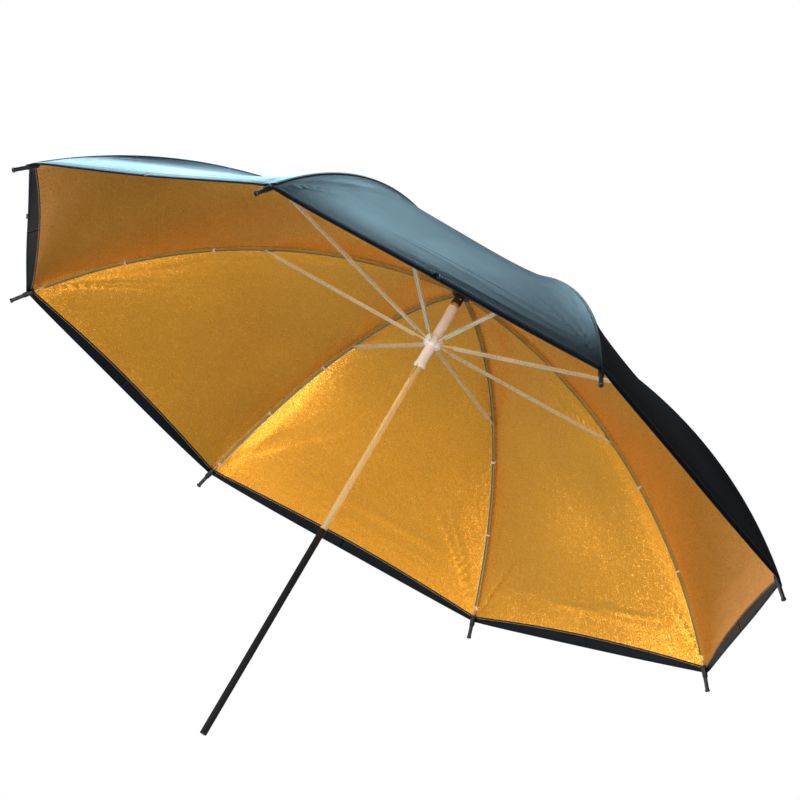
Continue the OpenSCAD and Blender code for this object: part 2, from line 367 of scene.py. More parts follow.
def signed_volume(points, faces):
    total = 0.0
    for f in faces:
        a = points[f[0]]
        for k in range(1, len(f) - 1):
            total += float(np.dot(a, np.cross(points[f[k]], points[f[k + 1]])))
    return total / 6


def swept(name, rings, materials, closed_ends=True):
    """A tube through rings of points, each ring a closed loop with the same number of points."""
    rings = np.array(rings)
    count, around = rings.shape[:2]
    points = rings.reshape(-1, 3)
    faces = []
    for i in range(count - 1):
        for j in range(around):
            k = (j + 1) % around
            faces.append((i * around + j, i * around + k, (i + 1) * around + k, (i + 1) * around + j))
    if closed_ends:
        faces.append(tuple(range(around))[::-1])
        faces.append(tuple((count - 1) * around + j for j in range(around)))
    if signed_volume(points, faces) < 0:
        faces = [f[::-1] for f in faces]
    return mesh_from(name, points, faces, materials)


def wire(path, radius, sides=8, closed=False):
    """Rings of a round wire along a path of points."""
    path = np.array(path, float)
    n = len(path)
    rings = []
    tangent0 = path[1] - path[0]
    steep = abs(tangent0[2]) >= 0.9 * np.linalg.norm(tangent0)
    up = np.array([1.0, 0.0, 0.0]) if steep else np.array([0.0, 0.0, 1.0])
    for i in range(n):
        t = path[(i + 1) % n] - path[i - 1] if closed else path[min(i + 1, n - 1)] - path[max(i - 1, 0)]
        t = t / np.linalg.norm(t)
        side = np.cross(t, up)
        side /= np.linalg.norm(side)
        up = np.cross(side, t)
        angles = [TURN * k / sides for k in range(sides)]
        rings.append([path[i] + radius * (math.cos(a) * side + math.sin(a) * up) for a in angles])
    return rings


# ---------------------------------------------------------------- finishes


class Nodes:
    """Short names for building a material's node tree."""

    def __init__(self, name):
        self.material = bpy.data.materials.new(name)
        self.material.use_nodes = True
        self.tree = self.material.node_tree
        self.tree.nodes.clear()
        self.out = self.add("ShaderNodeOutputMaterial")
        self.shader = self.add("ShaderNodeBsdfPrincipled")
        self.join(self.shader, "BSDF", self.out, "Surface")

    def add(self, kind, **values):
        node = self.tree.nodes.new(kind)
        for key, value in values.items():
            setattr(node, key, value)
        return node

    def join(self, a, out_name, b, in_name):
        self.tree.links.new(a.outputs[out_name], b.inputs[in_name])

    def set(self, **values):
        for key, value in values.items():
            name = key.replace("_", " ")
            if isinstance(value, tuple) and len(value) == 3:
                value = (*value, 1.0)
            self.shader.inputs[name].default_value = value

    def place(self, scale, source="Object"):
        coordinates = self.add("ShaderNodeTexCoord")
        mapping = self.add("ShaderNodeMapping")
        mapping.inputs["Scale"].default_value = scale if isinstance(scale, tuple) else (scale,) * 3
        self.join(coordinates, source, mapping, "Vector")
        return mapping

    def noise(self, scale, detail=3.0, roughness=0.5, source="Object"):
        node = self.add("ShaderNodeTexNoise")
        node.inputs["Scale"].default_value = 1.0
        node.inputs["Detail"].default_value = detail
        node.inputs["Roughness"].default_value = roughness
        self.join(self.place(scale, source), "Vector", node, "Vector")
        return node

    def ramp(self, source, out_name, stops):
        node = self.add("ShaderNodeValToRGB")
        while len(node.color_ramp.elements) < len(stops):
            node.color_ramp.elements.new(0.5)
        for element, (at, colour) in zip(node.color_ramp.elements, stops):
            element.position = at
            element.color = (*colour, 1.0) if isinstance(colour, tuple) else (colour, colour, colour, 1.0)
        self.join(source, out_name, node, "Fac")
        return node

    def spread(self, source, colour, darker, lighter, stops=(0.3, 0.75), pale=0.0):
        """A colour that drifts between a darker and a lighter shade of itself."""
        return self.ramp(source, "Fac", [
            (stops[0], tuple(min(1.0, v * darker + pale) for v in colour)),
            (stops[1], tuple(min(1.0, v * lighter + pale) for v in colour)),
        ])

    def bump(self, source, out_name, strength, distance, below=None):
        node = self.add("ShaderNodeBump")
        node.inputs["Strength"].default_value = strength
        node.inputs["Distance"].default_value = distance
        self.join(source, out_name, node, "Height")
        if below is not None:
            self.join(below, "Normal" if "Normal" in below.outputs else "Vector", node, "Normal")
        return node


def finish_settings():
    return bpy.context.scene.umbrella_finish


def gold_cloth(name="gold_cloth", pale=0.0):
    """Metallic coated cloth: flecks that each face their own way, on a fine weave."""
    colours = finish_settings()
    n = Nodes(name)
    deep, light = tuple(colours.gold), tuple(colours.gold_light)
    drift = n.noise(9.0, 3.0)
    base = n.spread(drift, deep, 0.92, 1.06, (0.25, 0.8), pale)
    flecks = n.add("ShaderNodeTexVoronoi")
    flecks.inputs["Scale"].default_value = 1.0
    n.join(n.place(1000.0), "Vector", flecks, "Vector")
    bright = n.ramp(flecks, "Color", [(0.76, 0.0), (0.95, 0.45)])
    mix = n.add("ShaderNodeMix", data_type="RGBA")
    n.join(bright, "Color", mix, "Factor")
    n.join(base, "Color", mix, MIX_A)
    mix.inputs[MIX_B].default_value = (*light, 1.0)
    n.join(mix, 2, n.shader, "Base Color")
    # each fleck tilts the surface its own way
    centred = n.add("ShaderNodeVectorMath", operation="SUBTRACT")
    centred.inputs[1].default_value = (0.5, 0.5, 0.5)
    n.join(flecks, "Color", centred, "Vector")
    tilt = n.add("ShaderNodeVectorMath", operation="SCALE")
    tilt.inputs["Scale"].default_value = 0.20
    n.join(centred, "Vector", tilt, "Vector")
    geometry = n.add("ShaderNodeNewGeometry")
    total = n.add("ShaderNodeVectorMath", operation="ADD")
    n.join(geometry, "Normal", total, "Vector")
    n.join(tilt, "Vector", total, 1)
    unit = n.add("ShaderNodeVectorMath", operation="NORMALIZE")
    n.join(total, "Vector", unit, "Vector")
    weave = n.noise((900.0, 2600.0, 1.0), 2.0, source="UV")
    cloth = n.bump(weave, "Fac", 0.25, 0.0002, unit)
    creases = n.noise((70.0, 9.0, 1.0), 4.0, 0.6, source="UV")
    soft = n.bump(creases, "Fac", 0.35, 0.0009, cloth)
    n.join(soft, "Normal", n.shader, "Normal")
    rough = n.ramp(flecks, "Color", [(0.3, 0.36), (0.8, 0.24)])
    n.join(rough, "Color", n.shader, "Roughness")
    n.join(soft, "Normal", n.shader, "Coat Normal")
    n.set(Metallic=0.74, Coat_Weight=0.03, Coat_Roughness=0.3, Coat_Tint=(1.0, 0.93, 0.72))
    return n.material


def black_cloth(name="black_nylon", spec=0.45):
    """Close-woven near-black nylon with a plain gloss; the cool tint of its sheen comes from the blue lamps.
    """
    n = Nodes(name)
    colour = tuple(finish_settings().nylon)
    drift = n.noise(14.0, 4.0)
    base = n.spread(drift, colour, 0.75, 1.35)
    n.join(base, "Color", n.shader, "Base Color")
    warp = n.add("ShaderNodeTexWave", wave_type="BANDS", bands_direction="X")
    warp.inputs["Scale"].default_value = 1.0
    n.join(n.place((620.0, 620.0, 1.0), "UV"), "Vector", warp, "Vector")
    weft = n.add("ShaderNodeTexWave", wave_type="BANDS", bands_direction="Y")
    weft.inputs["Scale"].default_value = 1.0
    n.join(n.place((620.0, 620.0, 1.0), "UV"), "Vector", weft, "Vector")
    cross = n.add("ShaderNodeMath", operation="MAXIMUM")
    n.join(warp, "Fac", cross, 0)
    n.join(weft, "Fac", cross, 1)
    cloth = n.bump(cross, "Value", 0.22, 0.00012)
    creases = n.noise((60.0, 10.0, 1.0), 5.0, 0.6, source="UV")
    soft = n.bump(creases, "Fac", 0.3, 0.0009, cloth)
    n.join(soft, "Normal", n.shader, "Normal")
    rough = n.ramp(drift, "Fac", [(0.2, 0.34), (0.8, 0.42)])
    n.join(rough, "Color", n.shader, "Roughness")
    n.set(Specular_IOR_Level=spec)
    return n.material


def metal(name, colour, roughness, metallic, grain=(1600.0, 1600.0, 60.0), wear=0.08):
    """Drawn or plated metal with lengthwise grain and small variations."""
    n = Nodes(name)
    drift = n.noise(35.0, 4.0)
    base = n.spread(drift, colour, 1 - wear, 1 + wear)
    n.join(base, "Color", n.shader, "Base Color")
    lines = n.noise(grain, 2.0)
    cloth = n.bump(lines, "Fac", 0.06, 0.00005)
    n.join(cloth, "Normal", n.shader, "Normal")
    rough = n.ramp(lines, "Fac", [(0.3, max(0.03, roughness - 0.04)), (0.75, roughness + 0.05)])
    n.join(rough, "Color", n.shader, "Roughness")
    n.set(Metallic=metallic)
    return n.material


def plastic(name, colour, roughness, coat=0.0):
    """Moulded plastic with a fine texture."""
    n = Nodes(name)
    drift = n.noise(60.0, 3.0)
    base = n.spread(drift, colour, 0.94, 1.05)
    n.join(base, "Color", n.shader, "Base Color")
    fine = n.noise(1800.0, 2.0)
    n.join(n.bump(fine, "Fac", 0.18, 0.00008), "Normal", n.shader, "Normal")
    rough = n.ramp(drift, "Fac", [(0.3, roughness - 0.04), (0.75, roughness + 0.06)])
    n.join(rough, "Color", n.shader, "Roughness")
    n.set(Coat_Weight=coat, Coat_Roughness=0.2)
    return n.material


def thread(name, colour):
    """Twisted sewing thread."""
    n = Nodes(name)
    drift = n.noise(300.0, 2.0)
    base = n.spread(drift, colour, 0.8, 1.1, (0.3, 0.8))
    n.join(base, "Color", n.shader, "Base Color")
    twist = n.add("ShaderNodeTexWave", wave_type="BANDS", bands_direction="DIAGONAL")
    twist.inputs["Scale"].default_value = 1.0
    n.join(n.place(2200.0), "Vector", twist, "Vector")
    n.join(n.bump(twist, "Fac", 0.4, 0.0001), "Normal", n.shader, "Normal")
    n.set(Roughness=0.7, Sheen_Weight=0.3)
    return n.material


FINISHES = {}


def finishes():
    """Every material, made once."""
    if not FINISHES:
        c = finish_settings()
        FINISHES.update(
            gold=gold_cloth(),
            seam=gold_cloth("gold_seam", 0.12),
            nylon=black_cloth(),
            hem=black_cloth("black_hem", 0.12),
            rib=metal("rib_metal", tuple(c.rib), 0.40, 0.6),
            stretcher=metal("stretcher_metal", tuple(c.stretcher), 0.30, 0.45),
            chrome=metal("shaft_chrome", (0.93, 0.91, 0.62), 0.18, 0.75, wear=0.05),
            steel=metal("plain_steel", (0.62, 0.61, 0.58), 0.32, 1.0),
            shaft_black=metal("shaft_black", (0.010, 0.010, 0.011), 0.22, 0.3),
            white=plastic("white_plastic", tuple(c.white), 0.34),
            black=plastic("black_plastic", tuple(c.black), 0.38),
            pale_thread=thread("pale_thread", (0.78, 0.68, 0.48)),
            black_thread=thread("black_thread", (0.02, 0.02, 0.022)),
            webbing=thread("black_webbing", (0.016, 0.016, 0.018)),
        )
    return FINISHES


# ---------------------------------------------------------------- pieces


def rib_parts(inner_start, joint_gap, rim_gap):
    """(part, from, to) of the inner and outer length of a rib, each short of the joint by joint_gap."""
    joint = fabric().joint_radius
    return ("inner", inner_start, joint - joint_gap), ("outer", joint + joint_gap, CORNER_R - rim_gap)


def half_sides():
    """(rib, gore, sign, letter) of the sixteen half gores: each belongs to the rib it is sewn to."""
    for rib in range(1, RIBS + 1):
        yield rib, rib, 1, "a"
        yield rib, (rib - 2) % RIBS + 1, -1, "b"


def follow_fold(piece, rib, part):
    """The piece rides on its rib: it is parented to the rib's body and gets its own copy of its mesh."""
    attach(piece, f"rib_{part}_{rib}")
    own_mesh(piece)


def across_columns(r, count):
    """Distances from the rib, close together over the seam and wider towards the middle of the gore."""
    half_width = r * math.sin(HALF)
    near = np.array([0, 0.0008, 0.0016, 0.0024, 0.0034, 0.0044, 0.0048, 0.007])
    near = near[:, None] * np.minimum(1, half_width / 0.016)[None, :]
    u = np.linspace(0, 1, count - len(near) + 1)[1:] ** 1.15
    far = near[-1][None, :] + (half_width - near[-1])[None, :] * u[:, None]
    return np.concatenate([near, far]).T


def cloth_half(name, rib, gore, sign, from_r, to_edge, rows, columns):
    """One half gore, black outside and gold inside, between two distances from the shaft."""
    f = fabric()
    v = np.linspace(0, 1, rows)
    nominal = from_r + (f.joint_radius - from_r if not to_edge else CORNER_R - from_r) * v
    t = across_columns(nominal, columns)
    half_width = nominal * math.sin(HALF)
    c = sign * (1 - t / half_width[:, None])
    c[:, -1] = 0.0
    if to_edge:
        r = from_r + (edge_radius(c) - from_r) * v[:, None]
    else:
        r = np.repeat(nominal[:, None], columns, 1)
    middle = gore_point(gore, r, c)
    normal = gore_normal(gore, r, c)
    normal[:, 0] = rib_seam_normal(rib, r[:, 0])
    half = f.thickness / 2
    seam = 0.0004 * np.clip((f.seam_width - t) / 0.0003 + 0.5, 0, 1)
    outer = middle + normal * half
    inner = middle - normal * (half + seam)[..., None]
    points = np.concatenate([outer.reshape(-1, 3), inner.reshape(-1, 3)])
    n = rows * columns
    over = grid_faces(rows, columns)
    under = grid_faces(rows, columns, n, flip=True)
    loop = (
        [j for j in range(columns)]
        + [i * columns + columns - 1 for i in range(1, rows)]
        + [(rows - 1) * columns + j for j in range(columns - 2, -1, -1)]
        + [i * columns for i in range(rows - 2, 0, -1)]
    )
    walls = [(a, a + n, b + n, b) for a, b in zip(loop, loop[1:] + loop[:1])]
    faces = over + under + walls
    if signed_volume(points, faces) < 0:
        faces = [face[::-1] for face in faces]
    over_seam = t[:-1, :-1].ravel() < f.seam_width - 0.0004
    seam_faces = [2 if on else 0 for on in over_seam]
    indices = [1] * len(over) + seam_faces + [1] * len(walls)
    finish = finishes()
    obj = mesh_from(name, points, faces, [finish["gold"], finish["nylon"], finish["seam"]], indices)
    mesh = obj.data
    uv = mesh.uv_layers.new(name="Cloth")
    run = np.concatenate([[0], np.cumsum(np.linalg.norm(np.diff(middle[:, 0], axis=0), axis=1))]) + from_r
    flat = np.stack([(t * sign).ravel(), np.repeat(run, columns)], -1)
    flat = np.concatenate([flat, flat])
    vertex = np.zeros(len(mesh.loops), np.int32)
    mesh.loops.foreach_get("vertex_index", vertex)
    uv.data.foreach_set("uv", flat[vertex].astype(np.float32).ravel())
    normals = np.concatenate([normal.reshape(-1, 3), -normal.reshape(-1, 3)])
    mesh.normals_split_custom_set_from_vertices([tuple(v) for v in normals])
    cut = middle[1:, 1:] - middle[:-1, :-1], middle[1:, :-1] - middle[:-1, 1:]
    area = float(np.linalg.norm(np.cross(*cut), axis=-1).sum() / 2)
    return obj, area


class UMBRELLA_OT_camera(bpy.types.Operator):
    """Camera below the rim and to one side"""

    bl_idname = "umbrella.camera"
    bl_label = "Camera"

    def execute(self, context):
        s = context.scene.umbrella_stage
        centre = Vector((0, 0, fabric().rim_height))
        back = Vector(
            (
                math.cos(s.elevation) * math.cos(s.azimuth),
                math.cos(s.elevation) * math.sin(s.azimuth),
                math.sin(s.elevation),
            )
        )
        right = Vector((0, 0, 1)).cross(back).normalized()
        up = back.cross(right)
        turned = right * math.cos(s.roll) + up * math.sin(s.roll)
        upward = -right * math.sin(s.roll) + up * math.cos(s.roll)
        data = bpy.data.cameras.new("camera")
        data.sensor_width = 36.0
        data.lens = s.lens
        data.shift_x, data.shift_y = 0.0213, 0.0349
        data.clip_start, data.clip_end = 0.05, 60.0
        camera = bpy.data.objects.new("camera", data)
        context.scene.collection.objects.link(camera)
        camera.matrix_world = Matrix.Translation(centre + back * s.distance) @ Matrix(
            (turned, upward, back)
        ).transposed().to_4x4()
        context.scene.camera = camera
        return {"FINISHED"}


class UMBRELLA_OT_fabric(bpy.types.Operator):
    """Half gores of cloth, each sewn to its rib, black outside and gold inside"""

    bl_idname = "umbrella.fabric"
    bl_label = "Fabric"

    def execute(self, context):
        f = fabric()
        for rib, gore, sign, letter in half_sides():
            for part, from_r, end_r, rows in (
                ("inner", f.crown_radius, f.joint_radius, 46),
                ("outer", f.joint_radius, CORNER_R, 62),
            ):
                to_edge = part == "outer"
                piece, area = cloth_half(
                    f"fabric_{part}_{rib}_{letter}", rib, gore, sign, from_r, to_edge, rows, 40
                )
                follow_fold(piece, rib, part)
                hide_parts(f"canopy_{part}_{rib}")
        return {"FINISHED"}


class UMBRELLA_OT_seam_tape(bpy.types.Operator):
    """Folded seam that covers each rib on the black side"""

    bl_idname = "umbrella.seam_tape"
    bl_label = "Seam tape"

    def execute(self, context):
        for rib in range(1, RIBS + 1):
            other = (rib - 2) % RIBS + 1
            for part, r0, r1 in rib_parts(0.0135, 0.0005, 0.004):
                rings = []
                for r in np.linspace(r0, r1, 60):
                    wide = min(0.0029, 0.16 * r)
                    ring = []
                    for t, lift in (
                        (-1, 0.00025), (-0.96, 0.0006), (-0.5, 0.00072), (0, 0.0008), (0.5, 0.00072),
                        (0.96, 0.0006), (1, 0.00025), (0.5, 0.0002), (0, 0.0001), (-0.5, 0.0002),
                    ):
                        c = 1 - abs(t) * wide / (r * math.sin(HALF))
                        ring.append(gore_point(rib, r, c, lift) if t >= 0 else gore_point(other, r, -c, lift))
                    rings.append(ring)
                piece = swept(f"seam_tape_{part}_{rib}", rings, [finishes()["nylon"]])
                add_plain_uv(piece)
                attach(piece, f"rib_{part}_{rib}")
        return {"FINISHED"}


class UMBRELLA_OT_hem(bpy.types.Operator):
    """Turned hem along the rim of each half gore"""

    bl_idname = "umbrella.hem"
    bl_label = "Hem"

    def execute(self, context):
        f = fabric()
        for rib, gore, sign, letter in half_sides():
            rings = []
            for c in sign * np.linspace(0.985, 0.0, 40):
                middle = 1 - c * c
                inside = f.hem_corner + (f.hem_middle - f.hem_corner) * middle
                outside = f.hem_corner + (f.hem_outside - f.hem_corner) * min(1, 3 * middle)
                profile = [
                    (outside, 0.0002), (outside - 0.0006, 0.00075),
                    (outside * 0.55, 0.00105), (0.001, 0.0011),
                    (-0.0009, 0.0007), (-0.0013, 0.0), (-0.0009, -0.0007), (0.001, -0.0011),
                    (inside * 0.55, -0.00105), (inside - 0.0006, -0.00075), (inside, -0.0002),
                    (inside * 0.5, -0.0001), (outside * 0.5, 0.0001),
                ]
                edge = float(edge_radius(c))
                rings.append([gore_point(gore, edge - s, c, lift=h) for s, h in profile])
            piece = swept(f"hem_{rib}_{letter}", rings, [finishes()["hem"]])
            add_plain_uv(piece)
            follow_fold(piece, rib, "outer")
        return {"FINISHED"}


def add_plain_uv(obj):
    """A cloth map in metres, from each point's height and turn round the shaft."""
    mesh = obj.data
    uv = mesh.uv_layers.new(name="Cloth")
    co = np.zeros(len(mesh.vertices) * 3, np.float32)
    mesh.vertices.foreach_get("co", co)
    co = co.reshape(-1, 3)
    flat = np.stack([np.arctan2(co[:, 1], co[:, 0]) * 0.45, co[:, 2]], -1)
    vertex = np.zeros(len(mesh.loops), np.int32)
    mesh.loops.foreach_get("vertex_index", vertex)
    uv.data.foreach_set("uv", flat[vertex].astype(np.float32).ravel())


def stitch_tree(finish):
    """Geometry Nodes: a round-ended stitch at even steps along every line of the mesh."""
    tree = bpy.data.node_groups.new("stitches_" + finish.name, "GeometryNodeTree")
    tree.interface.new_socket("Geometry", in_out="INPUT", socket_type="NodeSocketGeometry")
    for label in ("Pitch", "Length", "Radius"):
        tree.interface.new_socket(label, in_out="INPUT", socket_type="NodeSocketFloat")
    tree.interface.new_socket("Geometry", in_out="OUTPUT", socket_type="NodeSocketGeometry")
    node = tree.nodes.new
    link = tree.links.new
    source, result = node("NodeGroupInput"), node("NodeGroupOutput")
    line = node("GeometryNodeMeshToCurve")
    link(source.outputs["Geometry"], line.inputs["Mesh"])
    even = node("GeometryNodeCurveToPoints")
    even.mode = "LENGTH"
    link(line.outputs["Curve"], even.inputs["Curve"])
    link(source.outputs["Pitch"], even.inputs["Length"])
    bead = node("GeometryNodeMeshUVSphere")
    bead.inputs["Segments"].default_value = 6
    bead.inputs["Rings"].default_value = 4
    bead.inputs["Radius"].default_value = 1.0
    size = node("ShaderNodeCombineXYZ")
    halved = node("ShaderNodeMath")
    halved.operation = "MULTIPLY"
    halved.inputs[1].default_value = 0.5
    link(source.outputs["Length"], halved.inputs[0])
    link(source.outputs["Radius"], size.inputs["X"])
    link(source.outputs["Radius"], size.inputs["Y"])
    link(halved.outputs["Value"], size.inputs["Z"])
    place = node("GeometryNodeInstanceOnPoints")
    link(even.outputs["Points"], place.inputs["Points"])
    link(bead.outputs["Mesh"], place.inputs["Instance"])
    link(even.outputs["Rotation"], place.inputs["Rotation"])
    link(size.outputs["Vector"], place.inputs["Scale"])
    real = node("GeometryNodeRealizeInstances")
    link(place.outputs["Instances"], real.inputs["Geometry"])
    paint = node("GeometryNodeSetMaterial")
    paint.inputs["Material"].default_value = finish
    link(real.outputs["Geometry"], paint.inputs["Geometry"])
    link(paint.outputs["Geometry"], result.inputs["Geometry"])
    return tree


def sew(name, lines, tree):
    """A plain mesh of stitches along the lines, each a list of points."""
    t = bpy.context.scene.umbrella_thread
    mesh = bpy.data.meshes.new(name + "_lines")
    points, edges = [], []
    for one in lines:
        start = len(points)
        points += [tuple(p) for p in one]
        edges += [(start + k, start + k + 1) for k in range(len(one) - 1)]
    mesh.from_pydata(points, edges, [])
    guide = new_object(name + "_guide", mesh)
    modifier = guide.modifiers.new("stitches", "NODES")
    modifier.node_group = tree
    values = {"Pitch": t.pitch, "Length": t.length, "Radius": t.radius}
    for item in tree.interface.items_tree:
        if item.in_out == "INPUT" and item.name in values:
            modifier[item.identifier] = values[item.name]
    result = bpy.data.meshes.new_from_object(guide.evaluated_get(bpy.context.evaluated_depsgraph_get()))
    guide.modifiers.clear()
    bpy.data.objects.remove(guide)
    result.name = name
    result.polygons.foreach_set("use_smooth", [True] * len(result.polygons))
    return new_object(name, result)


class UMBRELLA_OT_stitching(bpy.types.Operator):
    """Stitches of the seams beside each rib and of the hem"""

    bl_idname = "umbrella.stitching"
    bl_label = "Stitching"

    def execute(self, context):
        f, finish = fabric(), finishes()
        dark, pale = stitch_tree(finish["black_thread"]), stitch_tree(finish["pale_thread"])
        top = f.thickness / 2 + 0.0001
        for rib, gore, sign, letter in half_sides():
            for part, r0, r1 in rib_parts(0.03, 0.001, 0.014):
                r = np.linspace(r0, r1, 70)
                c = sign * (1 - SEAM_STITCH / (r * math.sin(HALF)))
                seam = gore_point(gore, r, c, lift=top)
                piece = sew(f"seam_stitches_{part}_{rib}_{letter}", [seam], dark)
                follow_fold(piece, rib, part)
            c = sign * np.linspace(0.965, 0.0, 60)
            middle = 1 - c * c
            inside = f.hem_corner + (f.hem_middle - f.hem_corner) * middle
            outside = f.hem_corner + (f.hem_outside - f.hem_corner) * np.minimum(1, 3 * middle)
            within = gore_point(gore, edge_radius(c) - inside + 0.0014, c, lift=-0.00100)
            without = gore_point(gore, edge_radius(c) - outside + 0.0016, c, lift=0.00102)
            for kind, line, tree in (("inside", within, pale), ("outside", without, dark)):
                piece = sew(f"hem_stitches_{kind}_{rib}_{letter}", [line], tree)
                follow_fold(piece, rib, "outer")
        return {"FINISHED"}


def rib_frame(rib, r, depth):
    """Matrix at a place on the rib: X runs out along it, Z out of the cloth."""
    f = fabric()
    slope = math.asin((r - f.arc_x) / (f.arc_radius - depth))
    base = f.rim_height - math.sqrt(f.arc_radius**2 - (CORNER_R - f.arc_x) ** 2)
    z = base + (f.arc_radius - depth) * math.cos(slope)
    lean = Matrix.Rotation(slope, 4, "Y")
    return Matrix.Rotation(rib_azimuth(rib), 4, "Z") @ Matrix.Translation((r, 0, z)) @ lean


class UMBRELLA_OT_ties(bpy.types.Operator):
    """Thread ties that hold the seams to the ribs"""

    bl_idname = "umbrella.ties"
    bl_label = "Ties"

    def execute(self, context):
        t = context.scene.umbrella_thread
        for rib in range(1, RIBS + 1):
            parts = []
            for r, turns in ((t.tie_radius, 4), (t.tie_radius + 0.095, 3)):
                place = rib_frame(rib, r, 0.0028)
                wide, tall = 0.00235, 0.00215
                path = []
                for k in range(turns * 16):
                    a = 2 * math.pi * k / 16
                    x = (k / 16 - turns / 2) * 0.0007
                    y = wide * math.copysign(abs(math.cos(a)) ** 0.5, math.cos(a))
                    z = tall * math.copysign(abs(math.sin(a)) ** 0.5, math.sin(a))
                    path.append(place @ Vector((x, y, z)))
                tail = [
                    place @ Vector((turns * 0.00035 + 0.0004 * k, wide - 0.0001 * k, -tall - 0.0005 * k))
                    for k in range(1, 6)
                ]
                rings = wire(path + tail, 0.00036, 7)
                parts.append(swept(f"tie_{rib}_{turns}", rings, [finishes()["pale_thread"]]))
            piece = joined(f"tie_{rib}", parts)
            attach(piece, f"rib_outer_{rib}")
        return {"FINISHED"}


def joined(name, parts):
    """One object from several."""
    whole = bmesh.new()
    materials = []
    for p in parts:
        shift = len(materials)
        materials += list(p.data.materials)
        before = len(whole.faces)
        whole.from_mesh(p.data)
        whole.faces.ensure_lookup_table()
        for face in whole.faces[before:]:
            face.material_index += shift
    mesh = bpy.data.meshes.new(name)
    whole.to_mesh(mesh)
    whole.free()
    for p in parts:
        bpy.data.objects.remove(p)
    return new_object(name, mesh, materials)


class UMBRELLA_OT_corners(bpy.types.Operator):
    """Cloth pockets that hold the corners on the tips"""

    bl_idname = "umbrella.corners"
    bl_label = "Corner pockets"

    def execute(self, context):
        for rib in range(1, RIBS + 1):
            place = rib_frame(rib, CORNER_R, 0.0034)
            rings = []
            stations = (
                (-0.0105, 0.00262), (-0.0108, 0.0031), (-0.009, 0.0034), (-0.004, 0.0033),
                (0.0005, 0.0032), (0.0022, 0.0031), (0.0026, 0.0028), (0.0024, 0.00262),
            )
            for x, radius in stations:
                ring = []
                for k in range(32):
                    a = 2 * math.pi * k / 32
                    pucker = 1 + 0.05 * math.sin(5 * a + 90 * x * 10)
                    flat = 1.0 if math.sin(a) > 0 else 0.94
                    y, z = radius * pucker * math.cos(a), radius * flat * math.sin(a)
                    ring.append(place @ Vector((x, y, z)))
                rings.append(ring)
            piece = swept(f"corner_pocket_{rib}", rings, [finishes()["nylon"]], closed_ends=False)
            close_loop(piece, len(stations), 32)
            add_plain_uv(piece)
            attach(piece, f"rib_outer_{rib}")
        return {"FINISHED"}


def close_loop(obj, count, around):
    """Joins the last ring of an open tube to its first, so that it has a wall."""
    mesh = bmesh.new()
    mesh.from_mesh(obj.data)
    mesh.verts.ensure_lookup_table()
    last = (count - 1) * around
    for j in range(around):
        k = (j + 1) % around
        mesh.faces.new([mesh.verts[last + j], mesh.verts[last + k], mesh.verts[k], mesh.verts[j]])
    bmesh.ops.recalc_face_normals(mesh, faces=mesh.faces)
    for face in mesh.faces:
        face.smooth = True
    mesh.to_mesh(obj.data)
    mesh.free()


class UMBRELLA_OT_strap(bpy.types.Operator):
    """Closing strap with its snap, on the outside of one gore"""

    bl_idname = "umbrella.strap"
    bl_label = "Closing strap"

    def execute(self, context):
        gore, rib, sign, c0 = 1, 1, 1, 0.23
        finish = finishes()
        edge = float(edge_radius(c0))
        rings = []
        for s in np.linspace(-0.002, 0.085, 24):
            r = edge - s
            width = 0.0065 if s < 0.078 else 0.0065 - 0.5 * (s - 0.078)
            dc = width / (r * math.sin(HALF))
            lift = 0.0016 + 0.0012 * math.sin(math.pi * min(1, max(0, s / 0.085)))
            ring = (
                (dc, 0.0004), (dc * 0.9, 0.0006), (-dc * 0.9, 0.0006), (-dc, 0.0004),
                (-dc, -0.0004), (-dc * 0.9, -0.0006), (dc * 0.9, -0.0006), (dc, -0.0004),
            )
            rings.append([gore_point(gore, r, c0 + a, lift=lift + h) for a, h in ring])
        strap = swept("closing_strap", rings, [finish["webbing"]])
        place = gore_point(gore, edge - 0.012, c0, lift=0.0026)
        normal = gore_normal(gore, np.array(edge - 0.012), np.array(c0))
        profile = (
            (1e-5, 0.0021), (0.0016, 0.0020), (0.0026, 0.0016), (0.0036, 0.0013),
            (0.0046, 0.0009), (0.0050, 0.0003), (0.0048, -0.0006),
        )
        turn = Vector((0, 0, 1)).rotation_difference(Vector(normal)).to_matrix().to_4x4()
        at = Matrix.Translation(Vector(place)) @ turn
        angles = [TURN * k / 28 for k in range(28)]
        rings = [[at @ Vector((q * math.cos(a), q * math.sin(a), h)) for a in angles] for q, h in profile]
        snap = swept("snap", rings, [finish["steel"]])
        piece = joined("closing_strap_and_snap", [strap, snap])
        follow_fold(piece, rib, "outer")
        return {"FINISHED"}


class UMBRELLA_OT_metalwork(bpy.types.Operator):
    """Finishes of the shaft, ribs, stretchers, runner, crown and tips"""

    bl_idname = "umbrella.metalwork"
    bl_label = "Metal and plastic"

    def execute(self, context):
        finish = finishes()
        chosen = {
            "shaft_grip": "shaft_black", "shaft_tube": "chrome", "shaft_plug": "black", "crown": "black",
            "rib_pins": "steel", "crown_pin": "steel", "canopy_washer": "black", "top_cap": "black",
            "catch": "steel", "catch_spring": "steel", "runner": "white",
        }
        for i in range(1, RIBS + 1):
            chosen.update({f"rib_inner_{i}": "rib", f"rib_outer_{i}": "rib", f"rib_tip_{i}": "black",
                           f"stretcher_{i}": "stretcher"})
        for name, key in chosen.items():
            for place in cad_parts[name].material_slots:
                place.material = finish[key]
        return {"FINISHED"}


